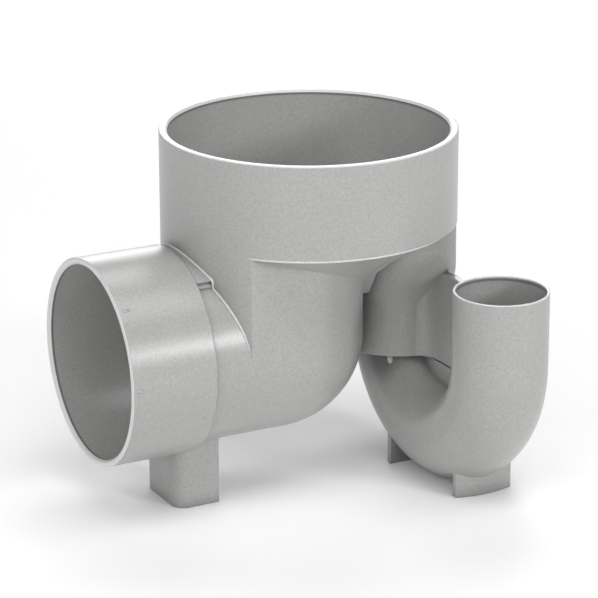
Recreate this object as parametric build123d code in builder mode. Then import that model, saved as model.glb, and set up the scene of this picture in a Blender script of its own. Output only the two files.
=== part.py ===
from build123d import *

import os
from math import cos, hypot, radians, sin

# Gully trap of moulded PVC-U with an upright riser socket, an elbow outlet and a U-bend water seal.
# Frame: +Z up on the riser's axis, z = 0 on the ledge that stops the riser pipe.
# The outlet points along -X, and the U-bend lies in a plane of constant x with its inlet towards -Y.
# Heights are measured up from the floor that the post and the feet stand on.

stand_height = 166.0
floor_z = -stand_height

# Riser socket
riser_bore_r = 82.9
riser_wall = 5.1
riser_depth = 50.0
riser_ledge = 2.5
riser_skirt_drop = 6.0
body_step = 0.5
riser_r = riser_bore_r + riser_wall
chamber_r = riser_bore_r - riser_ledge
body_r = riser_r - body_step
skirt_z = -riser_skirt_drop

# Funnel floor that closes the chamber under the riser socket
funnel_low_r = 34.0
funnel_fall = 38.0
funnel_bow = -3.4
funnel_wall = 4.8
funnel_low_z = skirt_z - funnel_fall

# Elbow from the chamber to the outlet
elbow_r = 57.0
elbow_wall = 3.5
elbow_x = -28.2
outlet_height = 93.2
elbow_bore_r = elbow_r - elbow_wall
outlet_z = floor_z + outlet_height

# Outlet socket
outlet_bore_r = 57.35
outlet_wall = 4.05
outlet_depth = 50.0
outlet_length = 53.3
outlet_reach = 144.3
outlet_r = outlet_bore_r + outlet_wall
outlet_mouth_x = -outlet_reach
outlet_back_x = outlet_mouth_x + outlet_length

# Small stop pad on the neck behind the outlet socket
pad_length = 9.0
pad_width = 4.5
pad_rise = 1.6
pad_angle = 55.0

# Post under the outlet, cored from below
post_depth = 27.7
post_width = 44.0
post_corner_r = 8.0
post_wall = 4.0
post_front_x = -99.8
post_back_x = post_front_x + post_depth
post_roof = 4.0

# U-bend, a thin tube of one bore
tube_r = 28.2
tube_wall = 1.8
bend_r = 59.5
bend_x = 71.0
leg_out_y = 16.5
inlet_height = 133.0
tube_bore_r = tube_r - tube_wall
leg_in_y = leg_out_y - 2 * bend_r
bend_mid_y = leg_out_y - bend_r
spring_z = floor_z + bend_r + tube_r
inlet_z = floor_z + inlet_height

# Trap socket that takes the U-bend's collar
trap_bore_r = 38.0
trap_wall = 3.0
trap_rim_height = 69.5
trap_depth = 31.0
trap_ledge = 1.5
trap_r = trap_bore_r + trap_wall
trap_pass_r = trap_bore_r - trap_ledge
trap_rim_z = floor_z + trap_rim_height
trap_stop_z = trap_rim_z + trap_depth

# Duct from the trap socket up into the chamber: round, and shifted forwards as it rises
duct_y = -9.5
duct_bend_low = 101.0
duct_bend_high = 145.0
duct_steps = 6

# Sloping roof over the part of the trap socket that stands outside the chamber
roof_height = 107.0
roof_fall = 8.0
roof_edge_r = 5.0
roof_wall = 3.0
roof_z = floor_z + roof_height

# Saddle web between the elbow and the duct
saddle_front_y = -24.0
saddle_root_y = -12.0
saddle_top_height = 130.0
saddle_low_height = 111.0

# Collar on the U-bend, cemented into the trap socket
cement_gap = 0.1
collar_length = 20.0
collar_wall = 3.2
collar_flare = 5.0
collar_edge = 2.5
collar_r = trap_bore_r - cement_gap
collar_bore_r = collar_r - collar_wall

# Stiffening webs in the plane of the U-bend
web_thickness = 4.0
web_top_height = 126.0
web_gap = 1.0
web_leg_gap = 0.3
web_root_r = 14.0
web_root_reach = 14.0
web_root_half = 14.0
web_root_sink = 0.2

# Feet under the U-bend
front_foot_width = 38.0
back_foot_width = 49.0
foot_thickness = 3.5
foot_height = 25.0
front_foot_x = 73.0
front_foot_y = -87.0
front_foot_arc_r = 58.0
back_foot_y = -17.0

# Edges
rim_edge = 0.8
socket_lead = 1.4
tube_edge = 0.6
step_edge = 0.8
trap_lead = 1.0
foot_edge = 0.6

# Directions of the trap seen from the riser's axis
trap_offset = hypot(bend_x, leg_out_y)
roof_out = (bend_x / trap_offset, leg_out_y / trap_offset)


def bullet_outline(end_r, half_width, centre_x):
    """Plan with flat sides, a round end about centre_x and the riser wall's arc as its other end."""
    with BuildSketch() as outline:
        with Locations((centre_x - end_r / 2, 0)):
            Rectangle(end_r, 2 * half_width)
        with Locations((centre_x, 0)):
            Circle(half_width)
        Circle(end_r, mode=Mode.INTERSECT)
    return outline.sketch


def round_duct(radius, low_z, top_z):
    """Solid upright tube over the outlet leg that bends smoothly forwards and goes on up to top_z."""
    with BuildPart() as tube:
        with BuildSketch(Plane.XY.offset(low_z)):
            with Locations((bend_x, leg_out_y)):
                Circle(radius)
        extrude(amount=floor_z + duct_bend_low - low_z)
        for step in range(duct_steps + 1):
            share = step / duct_steps
            height = duct_bend_low + share * (duct_bend_high - duct_bend_low)
            shift = share * share * (3 - 2 * share)
            with BuildSketch(Plane.XY.offset(floor_z + height)):
                with Locations((bend_x, leg_out_y + shift * (duct_y - leg_out_y))):
                    Circle(radius)
        loft()
        with BuildSketch(Plane.XY.offset(floor_z + duct_bend_high)):
            with Locations((bend_x, duct_y)):
                Circle(radius)
        extrude(amount=top_z - floor_z - duct_bend_high)
    return tube.part


def funnel_profile(rise, rim_r):
    """Half section of the space above the funnel floor, raised by rise and reaching out to rim_r."""
    with BuildSketch(Plane.XZ) as section:
        with BuildLine():
            Line((0, 0), (rim_r, 0))
            Line((rim_r, 0), (rim_r, skirt_z + rise))
            SagittaArc((rim_r, skirt_z + rise), (funnel_low_r, funnel_low_z + rise), funnel_bow)
            Line((funnel_low_r, funnel_low_z + rise), (0, funnel_low_z + rise))
            Line((0, funnel_low_z + rise), (0, 0))
        make_face()
    return section.sketch


# The plane of the roof, falling away from the riser's axis
roof_tilt = radians(roof_fall)
roof = Plane(
    origin=(riser_r * roof_out[0], riser_r * roof_out[1], roof_z),
    z_dir=(roof_out[0] * sin(roof_tilt), roof_out[1] * sin(roof_tilt), cos(roof_tilt)),
)

# Outside of the duct, kept inside the chamber's wall
with BuildPart() as duct:
    add(round_duct(trap_r, trap_rim_z, skirt_z))
    with BuildSketch(Plane.XY.offset(floor_z)):
        Circle(body_r)
    extrude(amount=stand_height, mode=Mode.INTERSECT)

# Outside of the trap socket, with its roof's edge rounded
with BuildPart() as trap_socket:
    with BuildSketch(Plane.XY.offset(trap_rim_z)):
        with Locations((bend_x, leg_out_y)):
            Circle(trap_r)
    extrude(amount=-trap_rim_z)
    split(bisect_by=roof, keep=Keep.BOTTOM)
    upper_faces = trap_socket.faces().filter_by(lambda face: face.normal_at().Z > 0.5)
    roof_face = upper_faces.sort_by(SortBy.AREA)[-1]
    fillet(roof_face.edges(), radius=roof_edge_r)

# Water way from the trap socket to the chamber
with BuildPart() as duct_way:
    add(round_duct(trap_pass_r, trap_stop_z - trap_ledge, 0))
    with BuildSketch(Plane.XY.offset(floor_z)):
        Circle(chamber_r)
    extrude(amount=stand_height, mode=Mode.INTERSECT)

with BuildPart() as trap_way:
    with BuildSketch(Plane.XY.offset(trap_stop_z)):
        with Locations((bend_x, leg_out_y)):
            Circle(trap_pass_r)
    extrude(amount=-trap_stop_z)
    split(bisect_by=roof.offset(-roof_wall), keep=Keep.BOTTOM)
    with BuildSketch(Plane.XY.offset(trap_rim_z)):
        with Locations((bend_x, leg_out_y)):
            Circle(trap_bore_r)
    extrude(amount=trap_depth)

# Web between the trap socket and the U-bend's inlet leg, on the body
with BuildPart() as body_web:
    web_front_y = leg_in_y + tube_r + web_leg_gap
    web_back_y = leg_out_y - trap_bore_r
    web_top_z = floor_z + web_top_height
    with BuildSketch(Plane.YZ.offset(bend_x - web_thickness / 2)):
        with Locations((bend_mid_y, spring_z)):
            Circle(bend_r - tube_r - web_leg_gap)
        with Locations(((web_front_y + web_back_y) / 2, (trap_rim_z + spring_z) / 2)):
            Rectangle(web_back_y - web_front_y, spring_z - trap_rim_z, mode=Mode.INTERSECT)
        with Locations(((web_front_y + web_back_y) / 2, (web_top_z + spring_z) / 2)):
            Rectangle(web_back_y - web_front_y, web_top_z - spring_z)
    extrude(amount=web_thickness)

# Flared root of that web, from inside the trap socket's wall out to the web
with BuildPart() as web_root:
    with BuildSketch(Plane.XY.offset(trap_rim_z)) as root_plan:
        with Locations((bend_x, leg_out_y)):
            Circle(trap_r - web_root_sink)
        with Locations((bend_x, leg_out_y - trap_r)):
            Rectangle(web_thickness, 2 * web_root_reach)
        fillet(root_plan.vertices().group_by(Axis.Y)[1], radius=web_root_r)
        with Locations((bend_x, leg_out_y - trap_r)):
            Rectangle(2 * web_root_half, 2 * web_root_reach, mode=Mode.INTERSECT)
        with Locations((bend_x, leg_out_y)):
            Circle(trap_r - trap_wall / 2, mode=Mode.SUBTRACT)
    extrude(amount=web_top_z - trap_rim_z)

# Saddle web between the elbow's round end and the duct
with BuildPart() as saddle:
    with BuildSketch(Plane.YZ.offset(elbow_x + elbow_bore_r)):
        with BuildLine():
            Polyline(
                (saddle_front_y, floor_z + saddle_top_height),
                (saddle_root_y, floor_z + saddle_low_height),
                (0, floor_z + saddle_low_height),
                (0, floor_z + saddle_top_height),
                close=True,
            )
        make_face()
        mirror(about=Plane.YZ)
    extrude(amount=bend_x - trap_pass_r - elbow_x - elbow_bore_r, both=True)

with BuildPart() as trap_body:
    # Riser socket and funnel floor
    with BuildSketch(Plane.XY.offset(skirt_z)):
        Circle(riser_r)
    extrude(amount=riser_depth - skirt_z)
    add(funnel_profile(0, riser_r))
    revolve(axis=Axis.Z)

    # Elbow: upright bullet-shaped shaft, ball knee and neck
    with BuildSketch(Plane.XY.offset(outlet_z)):
        add(bullet_outline(riser_r, elbow_r, elbow_x))
    extrude(amount=skirt_z - outlet_z)
    with Locations((elbow_x, 0, outlet_z)):
        Sphere(elbow_r)
    with BuildSketch(Plane.YZ.offset(elbow_x)):
        with Locations((0, outlet_z)):
            Circle(elbow_r)
    extrude(amount=outlet_back_x - elbow_x)

    # Outlet socket
    with BuildSketch(Plane.YZ.offset(outlet_mouth_x)):
        with Locations((0, outlet_z)):
            Circle(outlet_r)
    extrude(amount=outlet_length)

    # Post
    with BuildSketch(Plane.XY.offset(floor_z)) as post_plan:
        with Locations(((post_front_x + post_back_x) / 2, 0)):
            Rectangle(post_depth, post_width)
        fillet(post_plan.vertices().group_by(Axis.X)[0], radius=post_corner_r)
    extrude(amount=outlet_height - elbow_bore_r / 2)

    # Trap side
    add(duct.part)
    add(trap_socket.part)
    add(body_web.part)
    add(web_root.part)
    add(saddle.part)

    # Stop pad on the neck
    pad_plane = Plane(
        origin=(outlet_back_x + pad_length / 2, 0, outlet_z),
        x_dir=(1, 0, 0),
        z_dir=(0, -cos(radians(pad_angle)), sin(radians(pad_angle))),
    )
    with BuildSketch(pad_plane.offset(elbow_r - elbow_wall / 2)):
        Rectangle(pad_length, pad_width)
    extrude(amount=elbow_wall / 2 + pad_rise)

    # Hollow inside
    with BuildSketch(Plane.XY):
        Circle(riser_bore_r)
    extrude(amount=riser_depth, mode=Mode.SUBTRACT)
    add(funnel_profile(funnel_wall, chamber_r))
    revolve(axis=Axis.Z, mode=Mode.SUBTRACT)
    with BuildSketch(Plane.XY.offset(outlet_z)):
        add(bullet_outline(chamber_r, elbow_bore_r, elbow_x))
    extrude(amount=skirt_z - outlet_z, mode=Mode.SUBTRACT)
    with Locations((elbow_x, 0, outlet_z)):
        Sphere(elbow_bore_r, mode=Mode.SUBTRACT)
    with BuildSketch(Plane.YZ.offset(elbow_x)):
        with Locations((0, outlet_z)):
            Circle(elbow_bore_r)
    extrude(amount=outlet_mouth_x - elbow_x, mode=Mode.SUBTRACT)
    with BuildSketch(Plane.YZ.offset(outlet_mouth_x)):
        with Locations((0, outlet_z)):
            Circle(outlet_bore_r)
    extrude(amount=outlet_depth, mode=Mode.SUBTRACT)
    add(duct_way.part, mode=Mode.SUBTRACT)
    add(trap_way.part, mode=Mode.SUBTRACT)
    with BuildSketch(Plane.XY.offset(floor_z)):
        with Locations(((post_front_x + post_back_x) / 2, 0)):
            Rectangle(post_depth - 2 * post_wall, post_width - 2 * post_wall)
    extrude(amount=outlet_height - outlet_r - post_roof, mode=Mode.SUBTRACT)

    # Mouth edges, with a lead inside each socket and a rounded rim outside
    riser_rim = trap_body.edges().filter_by(GeomType.CIRCLE).group_by(Axis.Z)[-1]
    chamfer(riser_rim.sort_by(SortBy.RADIUS)[0], length=socket_lead)
    riser_rim = trap_body.edges().filter_by(GeomType.CIRCLE).group_by(Axis.Z)[-1]
    fillet(riser_rim.sort_by(SortBy.RADIUS)[-1], radius=rim_edge)
    outlet_rim = trap_body.edges().filter_by(GeomType.CIRCLE).group_by(Axis.X)[0]
    chamfer(outlet_rim.sort_by(SortBy.RADIUS)[0], length=socket_lead)
    outlet_rim = trap_body.edges().filter_by(GeomType.CIRCLE).group_by(Axis.X)[0]
    fillet(outlet_rim.sort_by(SortBy.RADIUS)[-1], radius=rim_edge)

    # Edge of the outlet socket's step, lead into the trap socket, and the post's lowest edges
    circles = trap_body.edges().filter_by(GeomType.CIRCLE)
    outlet_step = circles.filter_by_position(Axis.X, outlet_back_x, outlet_back_x)
    fillet(outlet_step.filter_by(lambda edge: abs(edge.radius - outlet_r) < rim_edge), radius=step_edge)
    trap_rim = trap_body.edges().filter_by(GeomType.CIRCLE).filter_by_position(Axis.Z, trap_rim_z, trap_rim_z)
    chamfer(trap_rim.filter_by(lambda edge: abs(edge.radius - trap_bore_r) < rim_edge), length=trap_lead)
    post_foot = trap_body.faces().sort_by(Axis.Z)[0].outer_wire()
    fillet(post_foot.edges(), radius=foot_edge)

with BuildPart() as u_bend:
    # Tube round the bend and up to the inlet mouth
    with BuildLine() as tube_path:
        Line((bend_x, leg_in_y, inlet_z), (bend_x, leg_in_y, spring_z))
        ThreePointArc(
            (bend_x, leg_in_y, spring_z),
            (bend_x, bend_mid_y, spring_z - bend_r),
            (bend_x, leg_out_y, spring_z),
        )
    with BuildSketch(Plane((bend_x, leg_in_y, inlet_z), x_dir=(1, 0, 0), z_dir=(0, 0, -1))):
        Circle(tube_r)
    sweep(path=tube_path.wires()[0])

    # Collar, turned about the outlet leg
    leg_axis = Axis((bend_x, leg_out_y, 0), (0, 0, 1))
    leg_section = Plane((bend_x, leg_out_y, 0), x_dir=(1, 0, 0), z_dir=(0, -1, 0))
    collar_z = trap_stop_z - collar_length
    with BuildSketch(leg_section):
        with BuildLine():
            Polyline(
                (0, collar_z),
                (collar_r - collar_edge, collar_z),
                (collar_r, collar_z + collar_edge),
                (collar_r, trap_stop_z),
                (0, trap_stop_z),
                close=True,
            )
        make_face()
    revolve(axis=leg_axis)

    # Web inside the bend
    with BuildSketch(Plane.YZ.offset(bend_x - web_thickness / 2)):
        web_low_z = spring_z - bend_r
        bend_web_height = trap_rim_z - web_gap - web_low_z
        with Locations((bend_mid_y, web_low_z + bend_web_height / 2)):
            Rectangle(2 * bend_r, bend_web_height)
        with Locations((bend_mid_y, spring_z)):
            Circle(bend_r, mode=Mode.INTERSECT)
    extrude(amount=web_thickness)

    # Feet
    with BuildSketch(Plane.XY.offset(floor_z)):
        with Locations((front_foot_x, front_foot_y + front_foot_arc_r)):
            Circle(front_foot_arc_r)
            Circle(front_foot_arc_r - foot_thickness, mode=Mode.SUBTRACT)
        with Locations((front_foot_x, front_foot_y)):
            Rectangle(front_foot_width, 4 * foot_thickness, mode=Mode.INTERSECT)
        with Locations((bend_x, back_foot_y)):
            Rectangle(back_foot_width, foot_thickness)
    extrude(amount=foot_height)

    # Bore
    with BuildSketch(Plane((bend_x, leg_in_y, inlet_z), x_dir=(1, 0, 0), z_dir=(0, 0, -1))):
        Circle(tube_bore_r)
    sweep(path=tube_path.wires()[0], mode=Mode.SUBTRACT)
    with BuildSketch(leg_section):
        with BuildLine():
            Polyline(
                (0, spring_z),
                (tube_bore_r, spring_z),
                (collar_bore_r, spring_z + collar_flare),
                (collar_bore_r, trap_stop_z),
                (0, trap_stop_z),
                close=True,
            )
        make_face()
    revolve(axis=leg_axis, mode=Mode.SUBTRACT)

    # Inlet mouth's edges
    inlet_rim = u_bend.edges().filter_by(GeomType.CIRCLE).filter_by_position(Axis.Z, inlet_z, inlet_z)
    fillet(inlet_rim, radius=tube_edge)

    # The feet's lowest edges
    foot_soles = u_bend.faces().group_by(Axis.Z)[0]
    fillet(foot_soles.edges(), radius=foot_edge)

os.makedirs("parts", exist_ok=True)

trap_body.part.label = "trap_body"
export_step(trap_body.part, "parts/trap_body.step")
u_bend.part.label = "u_bend"
export_step(u_bend.part, "parts/u_bend.step")
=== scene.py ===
"""Gully trap: the finish of its two mouldings, their small moulding marks, and the studio.

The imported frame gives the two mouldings, the trap body and the U-bend, in metres. Their shapes stay
as they are and take a moulded PVC-U finish. New pieces are the saddle on top of the outlet's neck, the
raised beads round the neck's root, in the duct's crease and along the riser socket's lower edge, the
small marks that cut gates and ejector pins leave, and the nib of solvent cement under the trap socket.
"""

import math

import bpy
import numpy as np
from mathutils import Matrix, Vector


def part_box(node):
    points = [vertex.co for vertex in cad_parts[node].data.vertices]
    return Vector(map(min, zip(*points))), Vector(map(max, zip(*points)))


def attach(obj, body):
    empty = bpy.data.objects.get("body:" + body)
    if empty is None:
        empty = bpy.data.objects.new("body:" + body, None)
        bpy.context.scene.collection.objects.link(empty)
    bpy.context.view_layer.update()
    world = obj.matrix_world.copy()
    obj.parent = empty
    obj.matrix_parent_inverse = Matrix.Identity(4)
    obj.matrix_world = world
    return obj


bl_info = {
    "name": "Gully Trap Finish",
    "version": (1, 0, 0),
    "blender": (4, 5, 0),
    "location": "3D View > Sidebar > Gully Trap",
    "description": "Finishes a moulded gully trap and sets up its studio",
    "category": "Object",
}

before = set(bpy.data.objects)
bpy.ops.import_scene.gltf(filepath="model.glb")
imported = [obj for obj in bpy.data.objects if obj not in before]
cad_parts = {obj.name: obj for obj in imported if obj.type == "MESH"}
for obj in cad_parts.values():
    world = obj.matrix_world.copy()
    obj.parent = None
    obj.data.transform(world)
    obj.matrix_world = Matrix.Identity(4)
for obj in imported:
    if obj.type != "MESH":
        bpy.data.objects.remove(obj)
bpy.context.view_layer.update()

MM = 0.001

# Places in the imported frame, in millimetres
FLOOR_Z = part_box("u_bend")[0][2] / MM
BODY_R = 88.0
SKIRT_Z = -6.0
NECK_R = 57.0
SOCKET_R = 61.4
OUTLET_Z = FLOOR_Z + 93.2
BEND_X = 71.0
SADDLE_R = 60.6
SOCKET_BACK_X = -91.6
SADDLE_HALF_ANGLE = math.radians(34.5)
CREASE = (
    (64.0, -49.9, -9.2),
    (56.8, -48.0, -12.7),
    (50.4, -45.0, -16.6),
    (44.8, -41.1, -21.0),
    (40.8, -36.5, -25.4),
    (38.0, -31.1, -29.8),
    (36.0, -26.0, -34.2),
    (34.3, -23.9, -36.4),
    (31.2, -21.5, -39.9),
    (28.2, -18.9, -44.0),
    (25.0, -18.9, -45.0),
)

# How far the saddle and the nib go into the walls that they stand on
SEAT = 1.2

# The nib of cement under the trap socket: its centre, the way it faces and the way it runs
NIB_CENTRE = (50.6, -9.8, -100.4)
NIB_OUT = (-0.71, -0.59, 0.38)
NIB_DOWN = (-0.12, -0.45, -0.88)

# The photograph's frame, in pixels, and the camera that fits it without shift
FRAME_PX = 598
SENSOR_MM = 36.0
CAMERA_FOCAL_PX = 2879.1
CAMERA_DISTANCE = 1718.4
CAMERA_ELEVATION = 18.775
CAMERA_TURN = 27.981
CAMERA_ROLL = -0.14
CAMERA_TARGET = (-6.604, 0.0, -56.224)
CAMERA_REACH = 50.0

# Finish: the share of cells with a speck and its colour, the occlusion where the painted crevice shade
# ends and where it is full, and how much of the painted shade's colour shows as a painted shadow under the
# trap socket's rim and as a painted shade line inside the mouths
SPECK_SHARE = 0.07
SPECK_COLOUR = "#6B6B69"
CREVICE_SHADE_ENDS, CREVICE_SHADE_FULL = 0.82, 0.3
UNDER_RIM_SHADOW = 0.7
MOUTH_SHADE_LINE = 0.75

# The open mouths of each moulding: centre in millimetres, and the way it faces
MOUTHS = {
    "trap_body": (((0.0, 0.0, 50.0), (0.0, 0.0, 1.0)), ((-144.3, 0.0, OUTLET_Z), (-1.0, 0.0, 0.0))),
    "u_bend": (((BEND_X, -102.5, FLOOR_Z + 133.0), (0.0, 0.0, 1.0)),),
}


def linear(hex_colour):
    """Linear RGB of an sRGB hex colour: c / 12.92 up to 0.04045, ((c + 0.055) / 1.055) ** 2.4 above."""
    parts = [int(hex_colour[i : i + 2], 16) / 255 for i in (1, 3, 5)]
    return tuple(c / 12.92 if c <= 0.04045 else ((c + 0.055) / 1.055) ** 2.4 for c in parts)


# Materials


def add_node(tree, kind, settings=None, inputs=None):
    """Adds a node, sets its properties, and sets or links its inputs. A socket as a value is a link."""
    node = tree.nodes.new(kind)
    for name, value in (settings or {}).items():
        setattr(node, name, value)
    for name, value in (inputs or {}).items():
        if isinstance(value, bpy.types.NodeSocket):
            tree.links.new(value, node.inputs[name])
        else:
            node.inputs[name].default_value = value
    return node


def new_material(name):
    """An empty node material with a Principled shader on its output, and the shader."""
    material = bpy.data.materials.new(name)
    material.use_nodes = True
    tree = material.node_tree
    tree.nodes.clear()
    shader = add_node(tree, "ShaderNodeBsdfPrincipled")
    output = add_node(tree, "ShaderNodeOutputMaterial")
    tree.links.new(shader.outputs["BSDF"], output.inputs["Surface"])
    return material, tree, shader


def ramp(tree, fac, stops):
    """A colour ramp over the stops, (position, linear RGB) each."""
    node = add_node(tree, "ShaderNodeValToRGB", inputs={"Fac": fac})
    line = node.color_ramp
    while len(line.elements) < len(stops):
        line.elements.new(1.0)
    for element, (position, colour) in zip(line.elements, stops):
        element.position = position
        element.color = (*colour, 1.0)
    return node.outputs["Color"]


def math_node(tree, operation, *values):
    """The result of a maths node over its inputs in order."""
    inputs = dict(enumerate(values))
    node = add_node(tree, "ShaderNodeMath", settings={"operation": operation}, inputs=inputs)
    return node.outputs["Value"]


def vector_node(tree, operation, first, second, output="Vector"):
    """One output of a vector maths node over two vectors."""
    inputs = {0: first, 1: second}
    node = add_node(tree, "ShaderNodeVectorMath", settings={"operation": operation}, inputs=inputs)
    return node.outputs[output]


def step_node(tree, value, low, high):
    """0 below low and 1 above high, smooth between; the other way round where low is above high."""
    node = add_node(
        tree,
        "ShaderNodeMapRange",
        settings={"interpolation_type": "SMOOTHSTEP"},
        inputs={"Value": value, "From Min": low, "From Max": high},
    )
    return node.outputs["Result"]


def mixed_colour(tree, factor, first, second):
    """A colour between first and second by the factor."""
    node = add_node(
        tree,
        "ShaderNodeMix",
        settings={"data_type": "RGBA"},
        inputs={"Factor": factor, "A": first, "B": second},
    )
    return node.outputs["Result"]


def mouth_masks(tree, place, normal, mouths):
    """Two masks over a moulding's mouths: the painted highlight on its rims, and the painted shade line
    just inside each.

    With r the place from a mouth's centre, a the way it faces and n the normal, a rim highlight is
    where r . a is above about -1.6 mm and n . a above about 0.35. The painted shade line is where r . a
    is from about -2.8 to -1.4 mm and r . n is below zero, which is the bore's own wall.
    """
    rims, lines = 0.0, 0.0
    for centre, axis in mouths:
        from_mouth = vector_node(tree, "SUBTRACT", place, tuple(c * MM for c in centre))
        depth = vector_node(tree, "DOT_PRODUCT", from_mouth, axis, "Value")
        facing = vector_node(tree, "DOT_PRODUCT", normal, axis, "Value")
        outward = vector_node(tree, "DOT_PRODUCT", from_mouth, normal, "Value")
        near = step_node(tree, depth, -1.8 * MM, -1.4 * MM)
        rims = math_node(tree, "MULTIPLY_ADD", near, step_node(tree, facing, 0.2, 0.5), rims)
        starts = step_node(tree, depth, -3.4 * MM, -2.2 * MM)
        ends = step_node(tree, depth, -1.2 * MM, -1.6 * MM)
        band = math_node(tree, "MULTIPLY", starts, ends)
        lines = math_node(tree, "MULTIPLY_ADD", band, step_node(tree, outward, 0.0, -0.002), lines)
    return rims, lines


def rim_shade(tree, place):
    """Mask of the painted shadow on the U-bend's outlet leg, under the trap socket's rim.

    It grows from 0 to 1 as z goes from -122 to -104 mm, and only where y is above about -14 mm.
    """
    parts = add_node(tree, "ShaderNodeSeparateXYZ", inputs={"Vector": place})
    height = step_node(tree, parts.outputs["Z"], -122 * MM, -104 * MM)
    return math_node(tree, "MULTIPLY", height, step_node(tree, parts.outputs["Y"], -20 * MM, -8 * MM))


def moulded_pvcu(name, settings, mouths, body=None, under_rim_shadow=False):
    """Injection-moulded PVC-U, pigmented light grey.

    PVC-U is filled and unplasticised, so it reads as an even, neutral grey with a low waxy gloss (IOR
    1.53, roughness about 0.3). The mould gives it a fine orange peel, faint flow clouds a few
    centimetres long, and now and then a dark speck. Its edges take a painted highlight, its mouths'
    rims a paler painted highlight, and a thin line of painted shade lies inside each. Narrow places take
    painted shade, and with under_rim_shadow a painted shadow lies under the trap socket's rim.
    """
    material, tree, shader = new_material(name)
    place = add_node(tree, "ShaderNodeTexCoord").outputs["Object"]
    body = body or settings.colour
    light = tuple(min(1.0, c * settings.cloud_contrast) for c in body)
    dark = tuple(c / settings.cloud_contrast for c in body)

    # Flow clouds, and a finer mottle that stands for the pigment's grain
    clouds = add_node(
        tree,
        "ShaderNodeTexNoise",
        inputs={"Vector": place, "Scale": 1 / settings.cloud_size, "Detail": 3.0, "Roughness": 0.55},
    )
    colour = ramp(tree, clouds.outputs["Fac"], [(0.0, dark), (1.0, light)])
    grain = add_node(
        tree,
        "ShaderNodeTexNoise",
        inputs={"Vector": place, "Scale": 1 / settings.grain_size, "Detail": 2.0, "Roughness": 0.6},
    )
    mottle = add_node(
        tree,
        "ShaderNodeMapRange",
        settings={"clamp": False},
        inputs={
            "Value": grain.outputs["Fac"],
            "From Min": 0.3,
            "From Max": 0.7,
            "To Min": 1 - settings.grain_contrast,
            "To Max": 1 + settings.grain_contrast,
        },
    )
    mixed = add_node(
        tree,
        "ShaderNodeVectorMath",
        settings={"operation": "SCALE"},
        inputs={0: colour, "Scale": mottle.outputs["Result"]},
    )

    # Dark specks, in the cells whose own random number is above a limit, one in about fourteen
    cells = add_node(
        tree,
        "ShaderNodeTexVoronoi",
        inputs={"Vector": place, "Scale": 1 / settings.speck_spacing, "Randomness": 1.0},
    )
    speck_reach = settings.speck_size / settings.speck_spacing / 2
    near = math_node(tree, "LESS_THAN", cells.outputs["Distance"], speck_reach)
    picked = add_node(tree, "ShaderNodeSeparateColor", inputs={"Color": cells.outputs["Color"]})
    chosen = math_node(tree, "GREATER_THAN", picked.outputs["Red"], 1 - SPECK_SHARE)
    speck = math_node(tree, "MULTIPLY", near, chosen)
    colour = mixed_colour(tree, speck, mixed.outputs["Vector"], (*linear(SPECK_COLOUR), 1.0))

    # Edges: the normal of a small rounding against the surface's own shows where they are, and there the
    # colour takes a painted highlight
    rounded = add_node(
        tree, "ShaderNodeBevel", settings={"samples": 6}, inputs={"Radius": settings.edge_radius}
    )
    surface = add_node(tree, "ShaderNodeNewGeometry")
    along = vector_node(tree, "DOT_PRODUCT", rounded.outputs["Normal"], surface.outputs["Normal"], "Value")
    edge = add_node(
        tree,
        "ShaderNodeMapRange",
        inputs={"Value": along, "From Min": 0.99, "From Max": 0.8, "To Min": 0.0, "To Max": 0.8},
    )
    colour = mixed_colour(tree, edge.outputs["Result"], colour, (*settings.edge_highlight_colour, 1.0))

    # Painted shade in the narrow places, darker where the occlusion is deeper
    shelter = add_node(
        tree,
        "ShaderNodeAmbientOcclusion",
        settings={"samples": 8},
        inputs={"Distance": settings.crevice_shade_reach},
    )
    shaded = step_node(tree, shelter.outputs["AO"], CREVICE_SHADE_ENDS, CREVICE_SHADE_FULL)
    crevice_shade = math_node(tree, "MULTIPLY", shaded, settings.crevice_shade)
    colour = mixed_colour(tree, crevice_shade, colour, (*settings.painted_shade_colour, 1.0))

    # Painted shadow under the trap socket's rim, on the U-bend
    if under_rim_shadow:
        shade_amount = math_node(tree, "MULTIPLY", rim_shade(tree, place), UNDER_RIM_SHADOW)
        colour = mixed_colour(tree, shade_amount, colour, (*settings.painted_shade_colour, 1.0))

    # Painted highlight on the rims, and the painted shade line inside them
    if mouths:
        rims, lines = mouth_masks(tree, place, surface.outputs["Normal"], mouths)
        colour = mixed_colour(tree, rims, colour, (*settings.rim_highlight_colour, 1.0))
        # Painted shade line just inside each mouth's rim
        shade_amount = math_node(tree, "MULTIPLY", lines, MOUTH_SHADE_LINE)
        colour = mixed_colour(tree, shade_amount, colour, (*settings.painted_shade_colour, 1.0))

    # Gloss that varies with the clouds
    gloss = add_node(
        tree,
        "ShaderNodeMapRange",
        inputs={
            "Value": clouds.outputs["Fac"],
            "From Min": 0.0,
            "From Max": 1.0,
            "To Min": settings.roughness - 0.03,
            "To Max": settings.roughness + 0.03,
        },
    )

    # Orange peel, on the rounded normal
    peel = add_node(
        tree,
        "ShaderNodeTexNoise",
        inputs={"Vector": place, "Scale": 1 / settings.peel_size, "Detail": 2.0, "Roughness": 0.5},
    )
    bump = add_node(
        tree,
        "ShaderNodeBump",
        inputs={
            "Strength": 1.0,
            "Distance": settings.peel_depth,
            "Height": peel.outputs["Fac"],
            "Normal": rounded.outputs["Normal"],
        },
    )
    tree.links.new(colour, shader.inputs["Base Color"])
    tree.links.new(gloss.outputs["Result"], shader.inputs["Roughness"])
    tree.links.new(bump.outputs["Normal"], shader.inputs["Normal"])
    shader.inputs["IOR"].default_value = 1.53
    return material


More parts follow.
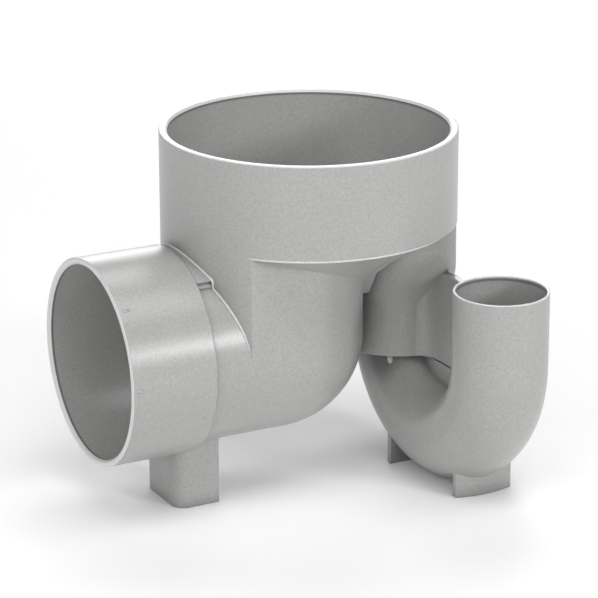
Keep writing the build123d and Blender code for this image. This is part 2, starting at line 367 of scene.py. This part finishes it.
def cement_film():
    """Set solvent cement, a clear glue that dries pale, smooth and glossier than the mouldings.

    Its faint cloudiness has a grain of 1.5 mm.
    """
    material, tree, shader = new_material("set solvent cement")
    place = add_node(tree, "ShaderNodeTexCoord").outputs["Object"]
    cloudiness = {"Vector": place, "Scale": 1 / (1.5 * MM), "Detail": 2.0}
    noise = add_node(tree, "ShaderNodeTexNoise", inputs=cloudiness)
    colour = ramp(tree, noise.outputs["Fac"], [(0.35, linear("#C4C4C1")), (0.65, linear("#DADAD7"))])
    tree.links.new(colour, shader.inputs["Base Color"])
    shader.inputs["Roughness"].default_value = 0.22
    shader.inputs["IOR"].default_value = 1.5
    return material


def floor_sheet(name, colour, roughness, glow):
    """A plain white sheet with a faint glow, for the floor."""
    material, _, shader = new_material(name)
    shader.inputs["Emission Color"].default_value = (1.0, 1.0, 1.0, 1.0)
    shader.inputs["Emission Strength"].default_value = glow
    shader.inputs["Base Color"].default_value = (*colour, 1.0)
    shader.inputs["Roughness"].default_value = roughness
    shader.inputs["Specular IOR Level"].default_value = 0.1
    return material


# Surfaces


def grid_faces(rows, columns, closed):
    """Quads of a grid of rows by columns, whose columns close on themselves if closed."""
    last = columns if closed else columns - 1
    i, j = np.meshgrid(np.arange(rows - 1), np.arange(last), indexing="ij")
    k = (j + 1) % columns
    here, below = i * columns, (i + 1) * columns
    quads = np.stack([here + j, here + k, below + k, below + j], axis=-1)
    return quads.reshape(-1, 4)


def new_piece(name, points, faces, material, smooth=True):
    """A mesh piece from points in millimetres, riding on the root."""
    mesh = bpy.data.meshes.new(name)
    mesh.from_pydata((points * MM).tolist(), [], [list(face) for face in faces])
    mesh.validate()
    mesh.polygons.foreach_set("use_smooth", np.full(len(mesh.polygons), smooth))
    mesh.update()
    mesh.materials.append(material)
    piece = bpy.data.objects.new(name, mesh)
    bpy.context.scene.collection.objects.link(piece)
    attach(piece, "root")
    return piece


def tube_along(path, out, size, columns=12):
    """Round bead along a path of points, with the size at each as its radius.

    Ring v of a row is the path's point plus its size times (o cos v + b sin v), with o the given outward
    direction less its part along the path, and b the cross product of the path's direction and o.
    """
    along = np.gradient(path, axis=0)
    along /= np.linalg.norm(along, axis=1, keepdims=True)
    out = out - along * (out * along).sum(1, keepdims=True)
    out /= np.linalg.norm(out, axis=1, keepdims=True)
    side = np.cross(along, out)
    turn = np.linspace(0, 2 * math.pi, columns, endpoint=False)
    ring = out[:, None] * np.cos(turn)[None, :, None] + side[:, None] * np.sin(turn)[None, :, None]
    points = (path[:, None] + ring * size[:, None, None]).reshape(-1, 3)
    return points, grid_faces(len(path), columns, True).tolist() + end_faces(len(path), columns)


def end_faces(rows, columns):
    """The two end faces of a tube of rows by columns."""
    return [list(range(columns))[::-1], list(range((rows - 1) * columns, rows * columns))]


def smooth_step(value, low, high):
    """s s (3 - 2 s) with s the value's share of the way from low to high, kept within 0 and 1."""
    share = np.clip((value - low) / (high - low), 0, 1)
    return share * share * (3 - 2 * share)


def neck_bead(half_angle, radius, rows=240):
    """Bead along the root of the outlet's neck, where it runs into the shaft's round side.

    The path, at turn t from the neck's top, is y = -N sin t, z = Z + N cos t and x = -sqrt(B^2 - y^2) on
    the body's radius B. N is the saddle's radius up to the saddle's end and the neck's radius past it.
    The bead's radius is r (1 - (t / T)^8).
    """
    t = np.linspace(-half_angle, half_angle, rows)
    past_saddle = smooth_step(np.abs(t), SADDLE_HALF_ANGLE, SADDLE_HALF_ANGLE + 0.06)
    reach = SADDLE_R + (NECK_R - SADDLE_R) * past_saddle
    y = -reach * np.sin(t)
    path = np.stack([-np.sqrt(BODY_R**2 - y**2), y, OUTLET_Z + reach * np.cos(t)], axis=1)
    out = np.stack([np.zeros(rows), -np.sin(t), np.cos(t)], axis=1)
    return tube_along(path, out, radius * np.maximum(1 - (np.abs(t) / half_angle) ** 8, 0.02))


def neck_saddle(rows=60):
    """Fill on top of the neck, between the outlet socket's back and the shaft's round side.

    At turn t the section is a rectangle from inside the socket's back to inside the shaft's side, which
    is at x = -sqrt(B^2 - (R sin t)^2), and from inside the neck out to the radius R.
    """
    t = np.linspace(-SADDLE_HALF_ANGLE, SADDLE_HALF_ANGLE, rows)
    back = np.full(rows, SOCKET_BACK_X)
    wall = -np.sqrt(BODY_R**2 - (SADDLE_R * np.sin(t)) ** 2) + SEAT
    inside = NECK_R - 1.5
    corners = []
    for x, reach in ((back, SADDLE_R), (wall, SADDLE_R), (wall, inside), (back, inside)):
        corners.append(np.stack([x, -reach * np.sin(t), OUTLET_Z + reach * np.cos(t)], axis=1))
    parts = []
    for first, second in zip(corners, corners[1:] + corners[:1]):
        strip = np.stack([first, second], axis=1).reshape(-1, 3)
        parts.append((strip, grid_faces(rows, 2, False)[:, ::-1].tolist()))
    ends = np.stack([corner[[0, -1]] for corner in corners], axis=1).reshape(-1, 3)
    parts.append((ends, [[0, 1, 2, 3], [7, 6, 5, 4]]))
    return joined(parts)


def crease_bead(radius):
    """Bead in the crease between the funnel floor and the duct, and on along the saddle web's top.

    The path runs through the crease's places at even steps, then each point becomes the mean of nine
    neighbours and moves outwards by half the radius. The bead tapers over its first 16 mm and its last 14.
    """
    corners = np.array(CREASE)
    run = np.append(0, np.cumsum(np.linalg.norm(np.diff(corners, axis=0), axis=1)))
    even = np.linspace(0, run[-1], 120)
    path = np.stack([np.interp(even, run, corners[:, i]) for i in range(3)], axis=1)
    inner = np.stack([np.convolve(path[:, i], np.ones(9) / 9, mode="valid") for i in range(3)], axis=1)
    out = np.tile([-0.3, -0.7, -0.65], (len(inner), 1))
    taper = smooth_step(even, 0.0, 16.0) * smooth_step(run[-1] - even, 0.0, 14.0)
    size = radius * np.maximum(taper, 0.02)[4:-4]
    return tube_along(inner + out * (size / 2)[:, None], out, size)


def skirt_bead(radius, steps=120):
    """Bead along the riser socket's lower edge, where it steps in to the funnel floor.

    The path is the circle (R cos v, R sin v, z) of the socket's outside at its skirt, for v from -144 to
    -50 degrees, moved inwards by half the bead's radius. The bead tapers over 6 degrees at its first end
    and 30 degrees at its last.
    """
    v = np.radians(np.linspace(-144, -50, steps))
    path = np.stack([BODY_R * np.cos(v), BODY_R * np.sin(v), np.full(steps, SKIRT_Z)], axis=1)
    out = np.stack([np.cos(v), np.sin(v), np.full(steps, -1.0)], axis=1) / math.sqrt(2)
    turn = np.degrees(v)
    size = radius * np.maximum(smooth_step(turn, -144, -138) * (1 - smooth_step(turn, -80, -50)), 0.05)
    return tube_along(path - out * (size / 2)[:, None], out, size)


def dome_surface(centre, out, up, half_up, half_side, height, sink=0.4, rows=9, columns=20):
    """Low mark that stands on a curved wall.

    At ring u from 0 at its top to 1 at its foot and turn v, the point is the centre plus
    up * a u cos v + side * b u sin v + out * (h cos(pi u / 2)), and the foot ring goes on
    into the wall by the sink.
    """
    out = np.asarray(out, float) / np.linalg.norm(out)
    up = np.asarray(up, float) / np.linalg.norm(up)
    side = np.cross(out, up)
    u = np.append(np.linspace(0.04, 1, rows - 1), 1.0)
    lift = np.append(height * np.cos(math.pi * u[:-1] / 2), -sink)
    v = np.linspace(0, 2 * math.pi, columns, endpoint=False)
    plane = (
        up * (half_up * u[:, None] * np.cos(v)[None])[..., None]
        + side * (half_side * u[:, None] * np.sin(v)[None])[..., None]
    )
    points = (np.asarray(centre, float) + plane + out * lift[:, None, None]).reshape(-1, 3)
    return points, grid_faces(rows, columns, True).tolist() + end_faces(rows, columns)


def joined(parts):
    """One list of points and faces out of several."""
    points, faces, start = [], [], 0
    for part_points, part_faces in parts:
        points.append(part_points)
        faces += [[corner + start for corner in face] for face in part_faces]
        start += len(part_points)
    return np.vstack(points), faces


def facing_out(piece):
    """Turns the piece's faces outwards."""
    if signed_volume(piece.data) < 0:
        piece.data.flip_normals()
    piece.data.update()


def signed_volume(mesh):
    """Sum over the triangles of a . (b x c) / 6, positive where they face outwards."""
    mesh.calc_loop_triangles()
    corners = np.empty(len(mesh.vertices) * 3)
    mesh.vertices.foreach_get("co", corners)
    index = np.empty(len(mesh.loop_triangles) * 3, dtype=np.int32)
    mesh.loop_triangles.foreach_get("vertices", index)
    a, b, c = corners.reshape(-1, 3)[index.reshape(-1, 3)].transpose(1, 0, 2)
    return float((a * np.cross(b, c)).sum() / 6)


# Settings


class PvcSettings(bpy.types.PropertyGroup):
    """The mouldings' finish."""

    colour: bpy.props.FloatVectorProperty(
        name="Colour",
        description="Pigment of the mouldings",
        subtype="COLOR",
        size=3,
        default=linear("#A5A5A4"),
    )
    # Painted highlight on the edges
    edge_highlight_colour: bpy.props.FloatVectorProperty(
        name="Edge highlight colour",
        description="Colour of rubbed edges",
        subtype="COLOR",
        size=3,
        default=linear("#C8C8C7"),
    )
    # Painted highlight on the mouths' rims
    rim_highlight_colour: bpy.props.FloatVectorProperty(
        name="Rim highlight colour",
        description="Colour of the painted highlight on the rims",
        subtype="COLOR",
        size=3,
        default=linear("#D2D2D1"),
    )
    # Colour of all the painted shade: narrow places, under the trap socket's rim and inside the mouths
    painted_shade_colour: bpy.props.FloatVectorProperty(
        name="Painted shade colour",
        description="Painted shade in narrow places, under the trap socket's rim and inside the mouths",
        subtype="COLOR",
        size=3,
        default=linear("#5E5E5C"),
    )
    roughness: bpy.props.FloatProperty(
        name="Roughness",
        description="Roughness of the moulded skin",
        subtype="FACTOR",
        default=0.3,
        min=0.1,
        max=1.0,
    )
    cloud_contrast: bpy.props.FloatProperty(
        name="Cloud contrast",
        description="Lightness ratio of the flow clouds",
        subtype="FACTOR",
        default=1.06,
        max=1.5,
    )
    cloud_size: bpy.props.FloatProperty(
        name="Cloud size",
        description="Length of a flow cloud",
        subtype="DISTANCE",
        unit="LENGTH",
        default=0.045,
    )
    grain_size: bpy.props.FloatProperty(
        name="Grain size",
        description="Pigment grain, drawn coarser than real so that it shows",
        subtype="DISTANCE",
        unit="LENGTH",
        default=0.0014,
    )
    grain_contrast: bpy.props.FloatProperty(
        name="Grain contrast",
        description="Half range of the grain's lightness",
        subtype="FACTOR",
        default=0.1,
        max=0.3,
    )
    # Painted shade in narrow places
    crevice_shade: bpy.props.FloatProperty(
        name="Crevice shade",
        description="How dark narrow places get",
        subtype="FACTOR",
        default=0.7,
        min=0.0,
        max=1.0,
    )
    crevice_shade_reach: bpy.props.FloatProperty(
        name="Grime reach",
        description="Width of a narrow place",
        subtype="DISTANCE",
        unit="LENGTH",
        default=0.016,
    )
    peel_size: bpy.props.FloatProperty(
        name="Peel size",
        description="Spacing of the orange peel",
        subtype="DISTANCE",
        unit="LENGTH",
        default=0.0022,
    )
    peel_depth: bpy.props.FloatProperty(
        name="Peel depth",
        description="Depth of the orange peel",
        subtype="DISTANCE",
        unit="LENGTH",
        default=0.00004,
    )
    speck_spacing: bpy.props.FloatProperty(
        name="Speck spacing",
        description="Size of a speck's cell",
        subtype="DISTANCE",
        unit="LENGTH",
        default=0.009,
    )
    speck_size: bpy.props.FloatProperty(
        name="Speck size",
        description="Width of a dark speck",
        subtype="DISTANCE",
        unit="LENGTH",
        default=0.0007,
    )
    edge_radius: bpy.props.FloatProperty(
        name="Edge radius",
        description="Rounding that the mould leaves",
        subtype="DISTANCE",
        unit="LENGTH",
        default=0.0009,
    )


class MarkSettings(bpy.types.PropertyGroup):
    """The beads and the small marks."""

    bead_radius: bpy.props.FloatProperty(
        name="Bead radius",
        description="Radius of the neck's bead",
        subtype="DISTANCE",
        unit="LENGTH",
        default=0.001,
    )
    crease_radius: bpy.props.FloatProperty(
        name="Crease radius",
        description="Radius of the duct's bead",
        subtype="DISTANCE",
        unit="LENGTH",
        default=0.001,
    )
    skirt_radius: bpy.props.FloatProperty(
        name="Skirt radius",
        description="Radius of the riser's bead",
        subtype="DISTANCE",
        unit="LENGTH",
        default=0.0006,
    )
    # Painted highlight along the beads
    bead_highlight_colour: bpy.props.FloatVectorProperty(
        name="Bead highlight colour",
        description="Colour of the rubbed beads",
        subtype="COLOR",
        size=3,
        default=linear("#CFCFCE"),
    )
    bead_half_angle: bpy.props.FloatProperty(
        name="Bead half angle",
        description="How far it goes down",
        subtype="ANGLE",
        default=math.radians(82),
    )
    mark_height: bpy.props.FloatProperty(
        name="Mark height",
        description="Height of a gate mark",
        subtype="DISTANCE",
        unit="LENGTH",
        default=0.0008,
    )


class StudioSettings(bpy.types.PropertyGroup):
    """Floor and lights."""

    floor_colour: bpy.props.FloatVectorProperty(
        name="Floor colour",
        description="Colour of the floor",
        subtype="COLOR",
        size=3,
        default=linear("#FBFBFB"),
    )
    floor_glow: bpy.props.FloatProperty(
        name="Floor glow", description="Faint light of the floor itself", default=0.05, min=0.0
    )
    floor_size: bpy.props.FloatProperty(
        name="Floor size",
        description="Side of the floor",
        subtype="DISTANCE",
        unit="LENGTH",
        default=12.0,
    )
    box_distance: bpy.props.FloatProperty(
        name="Box distance",
        description="From the object to each box",
        subtype="DISTANCE",
        unit="LENGTH",
        default=2.4,
    )
    box_power: bpy.props.FloatProperty(
        name="Box power",
        description="Power of a wide soft box whose share is 1",
        unit="POWER",
        default=19.5,
    )
    side_power: bpy.props.FloatProperty(
        name="Side power",
        description="Small low box at the front right",
        unit="POWER",
        default=18.5,
    )
    sky_strength: bpy.props.FloatProperty(
        name="Sky strength", description="Light of the studio's white walls", default=0.02
    )


# Operators


class GULLY_OT_finish(bpy.types.Operator):
    """Gives both mouldings their moulded PVC-U"""

    bl_idname = "gully.finish"
    bl_label = "Finish Mouldings"

    def execute(self, context):
        for name, mouths in MOUTHS.items():
            title = "moulded PVC-U, " + name.replace("_", " ")
            material = moulded_pvcu(title, context.scene.gully_pvc, mouths, under_rim_shadow=name == "u_bend")
            for material_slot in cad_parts[name].material_slots:
                material_slot.material = material
        return {"FINISHED"}


class GULLY_OT_beads(bpy.types.Operator):
    """Lays the neck's saddle, and beads at its root, the duct's crease and the riser's lower edge"""

    bl_idname = "gully.beads"
    bl_label = "Beads"

    def execute(self, context):
        settings = context.scene.gully_marks
        body = bpy.data.materials["moulded PVC-U, trap body"]
        points, faces = neck_saddle()
        facing_out(new_piece("neck_saddle", points, faces, body, smooth=False))
        finish = context.scene.gully_pvc
        # The beads take a pale colour that is a painted highlight along them
        highlighted = moulded_pvcu("moulded PVC-U, rubbed beads", finish, (), settings.bead_highlight_colour)
        beads = {
            "neck_bead": neck_bead(settings.bead_half_angle, settings.bead_radius / MM),
            "crease_bead": crease_bead(settings.crease_radius / MM),
            "skirt_bead": skirt_bead(settings.skirt_radius / MM),
        }
        for name, (points, faces) in beads.items():
            facing_out(new_piece(name, points, faces, highlighted))
        return {"FINISHED"}


class GULLY_OT_gate_marks(bpy.types.Operator):
    """Adds the small marks of cut gates and ejector pins"""

    bl_idname = "gully.gate_marks"
    bl_label = "Gate Marks"

    # Places on the outlet socket: x, turn from its top towards the front, half length, half width
    SOCKET_MARKS = ((-139.3, 44.5, 2.4, 1.1), (-140.2, 88.8, 2.2, 1.1), (-97.7, 112.5, 1.1, 1.1))

    def execute(self, context):
        height = context.scene.gully_marks.mark_height / MM
        marks = []
        for x, turn, half_length, half_width in self.SOCKET_MARKS:
            angle = math.radians(turn)
            out = (0.0, -math.sin(angle), math.cos(angle))
            centre = (x, SOCKET_R * out[1], OUTLET_Z + SOCKET_R * out[2])
            marks.append(dome_surface(centre, out, (1.0, 0.0, 0.0), half_length, half_width, height))
        points, faces = joined(marks)
        body = bpy.data.materials["moulded PVC-U, trap body"]
        facing_out(new_piece("gate_marks", points, faces, body))
        return {"FINISHED"}


class GULLY_OT_cement_nib(bpy.types.Operator):
    """Adds the nib of solvent cement that ran out under the trap socket"""

    bl_idname = "gully.cement_nib"
    bl_label = "Cement Nib"

    def execute(self, context):
        out, down = np.array(NIB_OUT), np.array(NIB_DOWN)
        down -= out * (down @ out)
        size = {"half_up": 3.4, "half_side": 1.7, "height": 1.1}
        points, faces = dome_surface(NIB_CENTRE, out, down, **size, sink=SEAT)
        facing_out(new_piece("cement_nib", points, faces, cement_film()))
        return {"FINISHED"}


def camera_axes():
    """Right, up and forward of the photograph's view, as unit vectors."""
    turn, drop, roll = (math.radians(a) for a in (CAMERA_TURN, CAMERA_ELEVATION, CAMERA_ROLL))
    forward = Vector((math.sin(turn) * math.cos(drop), math.cos(turn) * math.cos(drop), -math.sin(drop)))
    right = Vector((math.cos(turn), -math.sin(turn), 0.0))
    up = right.cross(forward)
    level_right = right
    right = math.cos(roll) * level_right + math.sin(roll) * up
    up = math.cos(roll) * up - math.sin(roll) * level_right
    return right, up, forward


def area_light(name, turn, elevation, distance, size, power):
    """A soft box that faces the object. Turn is to the camera's right, and elevation above the horizon."""
    right, _, forward = camera_axes()
    level = Vector((forward.x, forward.y, 0.0)).normalized()
    angle, height = math.radians(turn), math.radians(elevation)
    sideways = math.sin(angle) * right - math.cos(angle) * level
    away = math.cos(height) * sideways + Vector((0, 0, math.sin(height)))
    light = bpy.data.lights.new(name, "AREA")
    light.shape = "RECTANGLE"
    light.size, light.size_y = size
    light.energy = power
    lamp = bpy.data.objects.new(name, light)
    target = Vector(CAMERA_TARGET) * MM
    lamp.location = target + away.normalized() * distance
    lamp.rotation_euler = (-away).to_track_quat("-Z", "Y").to_euler()
    bpy.context.scene.collection.objects.link(lamp)


class GULLY_OT_studio(bpy.types.Operator):
    """Sets the floor, the lights and the camera of the photograph's view"""

    bl_idname = "gully.studio"
    bl_label = "Studio"

    # Wide soft boxes: name, turn to the camera's right, elevation, share of the box power
    WIDE_BOXES = (
        ("left_box", -70, 14, 0.35),
        ("left_high_box", -70, 38, 0.3),
        ("front_box", -20, 14, 0.25),
        ("front_high_box", -30, 38, 0.38),
        ("middle_box", 10, 22, 0.4),
        ("front_top_box", 0, 65, 0.73),
        ("right_top_box", 60, 65, 0.7),
        ("back_top_box", 180, 60, 0.85),
        ("back_low_box", 180, 16, 0.95),
    )
    WIDE_SIZE = (1.4, 1.0)
    SIDE_BOX = ("side_box", 55, 17)
    SIDE_SIZE = (0.5, 0.36)

    def execute(self, context):
        settings = context.scene.gully_studio
        half = settings.floor_size / 2
        height = FLOOR_Z * MM
        mesh = bpy.data.meshes.new("floor")
        turns = ((-half, -half), (half, -half), (half, half), (-half, half))
        mesh.from_pydata([(x, y, height) for x, y in turns], [], [(0, 1, 2, 3)])
        sheet = floor_sheet("white studio floor", settings.floor_colour, 0.9, settings.floor_glow)
        mesh.materials.append(sheet)
        floor = bpy.data.objects.new("floor", mesh)
        context.scene.collection.objects.link(floor)

        distance = settings.box_distance
        for name, turn, elevation, share in self.WIDE_BOXES:
            area_light(name, turn, elevation, distance, self.WIDE_SIZE, settings.box_power * share)
        area_light(*self.SIDE_BOX, distance, self.SIDE_SIZE, settings.side_power)

        world = bpy.data.worlds.new("white studio")
        context.scene.world = world
        world.use_nodes = True
        background = world.node_tree.nodes["Background"]
        background.inputs["Color"].default_value = (1.0, 1.0, 1.0, 1.0)
        background.inputs["Strength"].default_value = settings.sky_strength

        right, up, forward = camera_axes()
        camera = bpy.data.cameras.new("camera")
        camera.sensor_width = SENSOR_MM
        camera.lens = CAMERA_FOCAL_PX / FRAME_PX * SENSOR_MM
        camera.clip_end = CAMERA_REACH
        viewer = bpy.data.objects.new("camera", camera)
        context.scene.collection.objects.link(viewer)
        place = (Vector(CAMERA_TARGET) - CAMERA_DISTANCE * forward) * MM
        turned = Matrix((right, up, -forward)).transposed()
        viewer.matrix_world = Matrix.Translation(place) @ turned.to_4x4()
        context.scene.camera = viewer
        context.scene.view_settings.view_transform = "Standard"
        return {"FINISHED"}


class GULLY_PT_panel(bpy.types.Panel):
    """Lists the gully trap's steps and settings"""

    bl_idname = "GULLY_PT_panel"
    bl_label = "Gully Trap"
    bl_space_type = "VIEW_3D"
    bl_region_type = "UI"
    bl_category = "Gully Trap"

    def draw(self, context):
        layout = self.layout
        for operator in OPERATORS:
            layout.operator(operator.bl_idname)
        for group in (context.scene.gully_pvc, context.scene.gully_marks, context.scene.gully_studio):
            box = layout.box()
            for name in group.__annotations__:
                box.prop(group, name)


OPERATORS = (
    GULLY_OT_finish,
    GULLY_OT_beads,
    GULLY_OT_gate_marks,
    GULLY_OT_cement_nib,
    GULLY_OT_studio,
)
CLASSES = (PvcSettings, MarkSettings, StudioSettings, *OPERATORS, GULLY_PT_panel)


def register():
    """Registers the classes and hangs the settings on the scene."""
    for kind in CLASSES:
        bpy.utils.register_class(kind)
    bpy.types.Scene.gully_pvc = bpy.props.PointerProperty(type=PvcSettings)
    bpy.types.Scene.gully_marks = bpy.props.PointerProperty(type=MarkSettings)
    bpy.types.Scene.gully_studio = bpy.props.PointerProperty(type=StudioSettings)


def unregister():
    """Takes the settings and the classes away again."""
    del bpy.types.Scene.gully_studio
    del bpy.types.Scene.gully_marks
    del bpy.types.Scene.gully_pvc
    for kind in reversed(CLASSES):
        bpy.utils.unregister_class(kind)


def main():
    """Registers the add-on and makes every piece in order."""
    register()
    bpy.ops.gully.finish()
    bpy.ops.gully.beads()
    bpy.ops.gully.gate_marks()
    bpy.ops.gully.cement_nib()
    bpy.ops.gully.studio()


if __name__ == "__main__":
    main()
